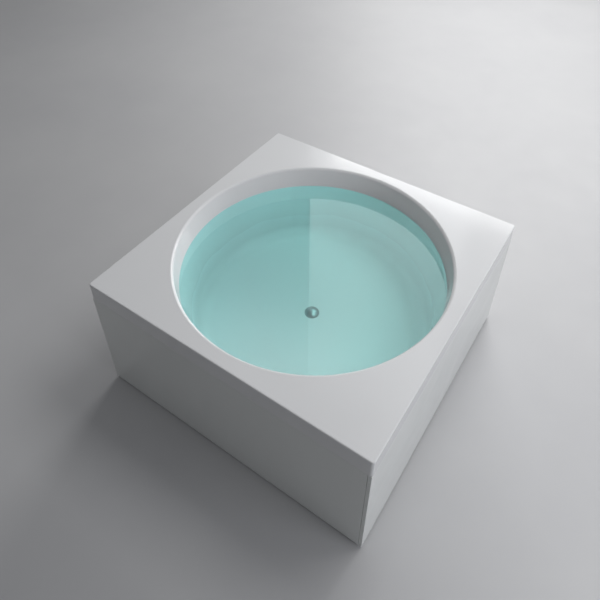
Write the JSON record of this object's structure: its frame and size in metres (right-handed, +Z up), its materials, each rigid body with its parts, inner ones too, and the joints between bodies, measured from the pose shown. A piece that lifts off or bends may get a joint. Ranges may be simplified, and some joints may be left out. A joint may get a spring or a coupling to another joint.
{
  "type": "square bathtub",
  "caption": "Free-standing square bathtub: round drop-sided basin in a thick-lipped deck, clip-off side panels, steel frame on levelling feet, and a knob-worked pop-up waste.",
  "frame": {"origin": "middle of the square footprint, on the floor", "axes": "+Z up; -Y out of the front panel; +X out of the right panel, the side nearest the overflow"},
  "size_m": [1.4, 1.4, 0.685],
  "materials": {
    "white_acrylic": "polished sanitary acrylic",
    "white_lacquer": "satin white lacquer on board",
    "plywood": "sealed plywood",
    "galvanised_tube": "galvanised steel tube",
    "zinc_steel": "bright zinc plate",
    "nylon": "moulded nylon",
    "chrome": "polished chrome plate",
    "black_rubber": "matt rubber",
    "white_plastic": "moulded polypropylene",
    "brass": "turned brass",
    "cable_sheath": "smooth plastic sheath"
  },
  "bodies": {
    "tub": {"tub_shell": "white_acrylic", "base_board": "plywood", "corner_board_front_left": "plywood", "corner_board_front_right": "plywood", "corner_board_rear_right": "plywood", "corner_board_rear_left": "plywood", "runner_front": "galvanised_tube", "runner_rear": "galvanised_tube", "corner_post_front_left": "galvanised_tube", "corner_post_front_right": "galvanised_tube", "corner_post_rear_right": "galvanised_tube", "corner_post_rear_left": "galvanised_tube", "ring_rail_front": "galvanised_tube", "ring_rail_right": "galvanised_tube", "ring_rail_rear": "galvanised_tube", "ring_rail_left": "galvanised_tube", "top_rail_front": "galvanised_tube", "top_rail_right": "galvanised_tube", "top_rail_rear": "galvanised_tube", "top_rail_left": "galvanised_tube", "foot_weld_nuts": "zinc_steel", "foot_lock_nuts": "zinc_steel", "board_screws": "zinc_steel", "panel_sockets": "nylon", "waste_flange": "chrome", "overflow_ring": "chrome", "waste_top_gasket": "black_rubber", "waste_bottom_gasket": "black_rubber", "tail_seal": "black_rubber", "overflow_seal": "black_rubber", "overflow_gasket": "black_rubber", "waste_body": "white_plastic", "tail_pipe": "white_plastic", "overflow_body": "white_plastic", "overflow_pipe": "white_plastic", "pipe_nuts": "white_plastic", "cable": "cable_sheath"},
    "plug": {"plug_cap": "chrome", "plug_seal": "black_rubber", "plug_stem": "brass"},
    "knob": {"overflow_knob": "chrome", "knob_spindle": "brass"},
    "lever": {"lift_lever": "brass"},
    "panel_front": {"front_panel": "white_lacquer", "front_panel_studs": "nylon"},
    "panel_right": {"right_panel": "white_lacquer", "right_panel_studs": "nylon"},
    "panel_rear": {"rear_panel": "white_lacquer", "rear_panel_studs": "nylon"},
    "panel_left": {"left_panel": "white_lacquer", "left_panel_studs": "nylon"},
    "foot_front_body": {"foot_front": "zinc_steel"},
    "foot_right_body": {"foot_right": "zinc_steel"},
    "foot_rear_body": {"foot_rear": "zinc_steel"},
    "foot_left_body": {"foot_left": "zinc_steel"},
    "runner_foot_front_left_body": {"runner_foot_front_left": "zinc_steel"},
    "runner_foot_front_right_body": {"runner_foot_front_right": "zinc_steel"},
    "runner_foot_rear_left_body": {"runner_foot_rear_left": "zinc_steel"},
    "runner_foot_rear_right_body": {"runner_foot_rear_right": "zinc_steel"}
  },
  "joints": [
    {"name": "knob_turn", "type": "hinge", "parent": "tub", "child": "knob", "pos_m": [0.58137, -0.2116, 0.599], "axis": [-0.9317, 0.3391, 0.1305], "range_deg": [0, 80]},
    {"name": "plug_lift", "type": "slide", "parent": "tub", "child": "plug", "axis": [0, 0, 1], "range_m": [0, 0.01]},
    {"name": "lever_turn", "type": "hinge", "parent": "tub", "child": "lever", "pos_m": [0.01879, -0.00684, 0.058], "axis": [0.342, 0.9397, 0], "range_deg": [0, 32.24]},
    {"name": "front_panel_pull", "type": "slide", "parent": "tub", "child": "panel_front", "axis": [0, -1, 0], "range_m": [0, 0.15]},
    {"name": "right_panel_pull", "type": "slide", "parent": "tub", "child": "panel_right", "axis": [1, 0, 0], "range_m": [0, 0.15]},
    {"name": "rear_panel_pull", "type": "slide", "parent": "tub", "child": "panel_rear", "axis": [0, 1, 0], "range_m": [0, 0.15]},
    {"name": "left_panel_pull", "type": "slide", "parent": "tub", "child": "panel_left", "axis": [-1, 0, 0], "range_m": [0, 0.15]},
    {"name": "foot_front_level", "type": "slide", "parent": "tub", "child": "foot_front_body", "axis": [0, 0, -1], "range_m": [0, 0.02]},
    {"name": "foot_right_level", "type": "slide", "parent": "tub", "child": "foot_right_body", "axis": [0, 0, -1], "range_m": [0, 0.02]},
    {"name": "foot_rear_level", "type": "slide", "parent": "tub", "child": "foot_rear_body", "axis": [0, 0, -1], "range_m": [0, 0.02]},
    {"name": "foot_left_level", "type": "slide", "parent": "tub", "child": "foot_left_body", "axis": [0, 0, -1], "range_m": [0, 0.02]},
    {"name": "runner_foot_front_left_level", "type": "slide", "parent": "tub", "child": "runner_foot_front_left_body", "axis": [0, 0, -1], "range_m": [0, 0.02]},
    {"name": "runner_foot_front_right_level", "type": "slide", "parent": "tub", "child": "runner_foot_front_right_body", "axis": [0, 0, -1], "range_m": [0, 0.02]},
    {"name": "runner_foot_rear_left_level", "type": "slide", "parent": "tub", "child": "runner_foot_rear_left_body", "axis": [0, 0, -1], "range_m": [0, 0.02]},
    {"name": "runner_foot_rear_right_level", "type": "slide", "parent": "tub", "child": "runner_foot_rear_right_body", "axis": [0, 0, -1], "range_m": [0, 0.02]}
  ],
  "couplings": [
    {"joint": "plug_lift", "follows": "knob_turn", "m_per_rad": 0.00716},
    {"joint": "lever_turn", "follows": "knob_turn", "ratio": 0.4028}
  ]
}
